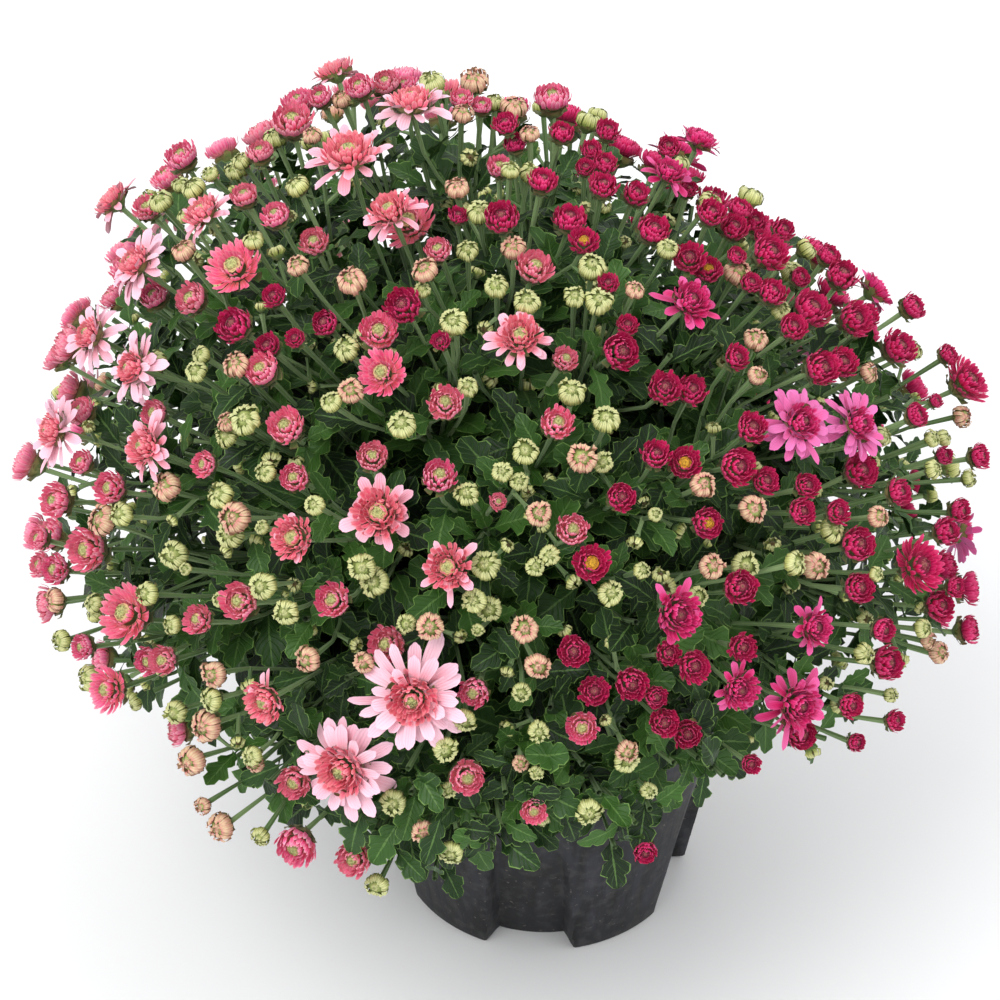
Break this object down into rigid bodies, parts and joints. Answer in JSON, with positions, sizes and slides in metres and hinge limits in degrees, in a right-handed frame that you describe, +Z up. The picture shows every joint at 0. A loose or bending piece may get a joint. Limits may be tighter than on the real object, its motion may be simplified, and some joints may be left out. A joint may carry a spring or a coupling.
{
  "type": "pot chrysanthemum",
  "caption": "Potted chrysanthemum: a dense dome of salmon and crimson flower heads, pale buds and lobed leaves on upright stems over a fluted, tapered nursery pot of soil.",
  "frame": {"origin": "centre of the pot's flat base, on the surface that the pot stands on", "axes": "+Z up through the pot; -Y is the front, the side the picture shows; the salmon plant is on the -X side and the crimson plant on the +X side"},
  "size_m": [0.4942, 0.4836, 0.4724],
  "materials": {
    "pot_plastic": "matte black moulded plastic with dust and dried soil",
    "soil": "moist peat potting mix with bark",
    "foliage": "matte dark green lobed leaves, grey-green ribbed stalks, half-open heads and pale yellow-green buds",
    "salmon_petals": "satin coral-salmon petals, paler pink at the tips",
    "crimson_petals": "satin deep crimson-magenta petals, maroon in the middle"
  },
  "bodies": {
    "root": {"crimson_bloom_17": "crimson_petals", "crimson_bloom_18": "crimson_petals", "crimson_bloom_19": "crimson_petals", "crimson_bloom_20": "crimson_petals", "crimson_bloom_21": "crimson_petals", "crimson_bloom_22": "crimson_petals", "crimson_bloom_23": "crimson_petals", "crimson_bloom_24": "crimson_petals", "crimson_bloom_25": "crimson_petals", "crimson_bloom_26": "crimson_petals", "crimson_bloom_27": "crimson_petals", "crimson_bloom_28": "crimson_petals", "crimson_bloom_29": "crimson_petals", "crimson_bloom_35": "crimson_petals", "crimson_spray_01": "foliage", "crimson_spray_02": "foliage", "crimson_spray_03": "foliage", "crimson_spray_04": "foliage", "crimson_spray_05": "foliage", "crimson_spray_06": "foliage", "crimson_spray_07": "foliage", "crimson_spray_08": "foliage", "crimson_spray_09": "foliage", "crimson_spray_10": "foliage", "crimson_spray_11": "foliage", "pot": "pot_plastic", "salmon_bloom_01": "salmon_petals", "salmon_bloom_02": "salmon_petals", "salmon_bloom_03": "salmon_petals", "salmon_bloom_04": "salmon_petals", "salmon_bloom_05": "salmon_petals", "salmon_bloom_06": "salmon_petals", "salmon_bloom_07": "salmon_petals", "salmon_bloom_08": "salmon_petals", "salmon_bloom_09": "salmon_petals", "salmon_bloom_10": "salmon_petals", "salmon_bloom_11": "salmon_petals", "salmon_bloom_12": "salmon_petals", "salmon_bloom_13": "salmon_petals", "salmon_bloom_14": "salmon_petals", "salmon_bloom_15": "salmon_petals", "salmon_bloom_16": "salmon_petals", "salmon_bloom_30": "salmon_petals", "salmon_bloom_31": "salmon_petals", "salmon_bloom_32": "salmon_petals", "salmon_bloom_33": "salmon_petals", "salmon_bloom_34": "salmon_petals", "salmon_bloom_36": "salmon_petals", "salmon_spray_01": "foliage", "salmon_spray_02": "foliage", "salmon_spray_03": "foliage", "salmon_spray_04": "foliage", "salmon_spray_05": "foliage", "salmon_spray_06": "foliage", "salmon_spray_07": "foliage", "salmon_spray_08": "foliage", "salmon_spray_09": "foliage", "salmon_spray_10": "foliage", "salmon_spray_11": "foliage", "soil": "soil"}
  },
  "joints": []
}
